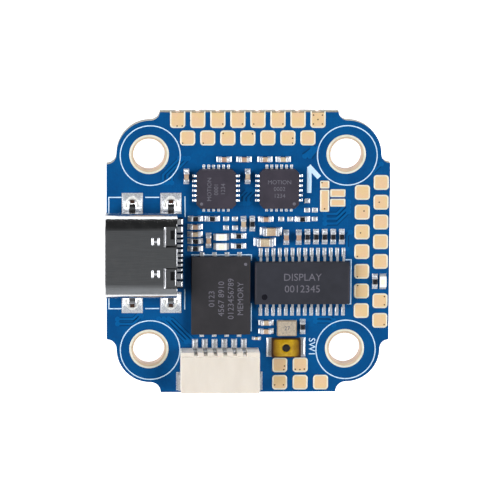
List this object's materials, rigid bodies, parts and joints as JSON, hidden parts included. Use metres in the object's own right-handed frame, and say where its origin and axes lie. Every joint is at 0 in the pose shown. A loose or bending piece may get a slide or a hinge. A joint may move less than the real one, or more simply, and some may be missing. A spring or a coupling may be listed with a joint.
{
  "type": "flight controller board",
  "caption": "Small blue flight controller board with USB-C port, side-entry wire ports, motion sensors, display chip, solder pads and a boot button on a square mounting pattern.",
  "frame": {"origin": "centre of the square mounting pattern, on the component face of the board", "axes": "+X from the USB mouth across the board, +Y the flight direction, +Z out of the component face"},
  "size_m": [0.029, 0.0289, 0.0079],
  "materials": {
    "board_laminate": "blue solder mask over woven glass laminate, satin gloss",
    "gold": "thin gold over nickel, satin",
    "tinned_copper": "solder, bright",
    "usb_steel": "drawn steel, satin nickel plate",
    "contact_metal": "tin plate, bright",
    "end_caps": "tin plate, slightly matt",
    "connector_black": "moulded, fine grain",
    "connector_ivory": "moulded, semi-matt",
    "chip_moulding": "filled epoxy, fine grain",
    "ceramic_tray": "fired, matt",
    "crystal_lid": "rolled, satin",
    "sensor_lid": "rolled, satin",
    "button_base": "moulded, dark brown",
    "dome_steel": "spring steel",
    "amber_film": "polyimide film, glossy",
    "button_black": "moulded",
    "capacitor_ceramic": "fired, fine grain",
    "resistor_ceramic": "fired alumina",
    "resistor_glaze": "overcoat, semi-gloss",
    "led_white": "white reflector moulding",
    "led_window": "clear epoxy over phosphor",
    "ferrite": "pressed metal powder, matt",
    "white_ink": "screen-printed legend ink"
  },
  "bodies": {
    "board": {"barometer_base": "ceramic_tray", "barometer_lid": "sensor_lid", "boot_button_base": "button_base", "boot_button_dome": "dome_steel", "boot_button_film": "amber_film", "boot_button_terminals": "contact_metal", "circuit_board": "board_laminate", "component_lands": "tinned_copper", "edge_pads": "gold", "face_pads": "gold", "flash_body": "chip_moulding", "flash_terminals": "contact_metal", "gyro_1_body": "chip_moulding", "gyro_1_terminals": "contact_metal", "gyro_2_body": "chip_moulding", "gyro_2_terminals": "contact_metal", "inductor_core": "ferrite", "inductor_terminals": "contact_metal", "jumper_pads": "gold", "large_capacitor_bodies": "capacitor_ceramic", "large_capacitor_ends": "end_caps", "led_bodies": "led_white", "led_terminals": "contact_metal", "led_windows": "led_window", "low_drop_regulator_body": "chip_moulding", "low_drop_regulator_leads": "contact_metal", "mcu_body": "chip_moulding", "mcu_crystal_base": "ceramic_tray", "mcu_crystal_lid": "crystal_lid", "mcu_leads": "contact_metal", "mounting_hole_plating": "gold", "osd_body": "chip_moulding", "osd_crystal_base": "ceramic_tray", "osd_crystal_lid": "crystal_lid", "osd_leads": "contact_metal", "port6_contacts": "contact_metal", "port6_fixing_tabs": "contact_metal", "port6_housing": "connector_ivory", "port8_contacts": "contact_metal", "port8_fixing_tabs": "contact_metal", "port8_housing": "connector_ivory", "resistor_bodies": "resistor_ceramic", "resistor_coats": "resistor_glaze", "resistor_ends": "end_caps", "small_capacitor_bodies": "capacitor_ceramic", "small_capacitor_ends": "end_caps", "spare_lands": "tinned_copper", "step_down_regulator_body": "chip_moulding", "step_down_regulator_leads": "contact_metal", "underside_capacitor_bodies": "capacitor_ceramic", "underside_chip_ends": "end_caps", "underside_lands": "tinned_copper", "underside_resistor_bodies": "resistor_ceramic", "underside_resistor_coats": "resistor_glaze", "usb_contacts": "contact_metal", "usb_latch_plate": "usb_steel", "usb_leg_lands": "tinned_copper", "usb_moulding": "connector_black", "usb_shell": "usb_steel"},
    "plunger": {"boot_button_plunger": "button_black"}
  },
  "joints": [
    {"name": "boot_button_press", "type": "slide", "parent": "board", "child": "plunger", "axis": [0, 0, -1], "range_m": [0, 0.00015], "stiffness_N_per_m": 6000}
  ]
}
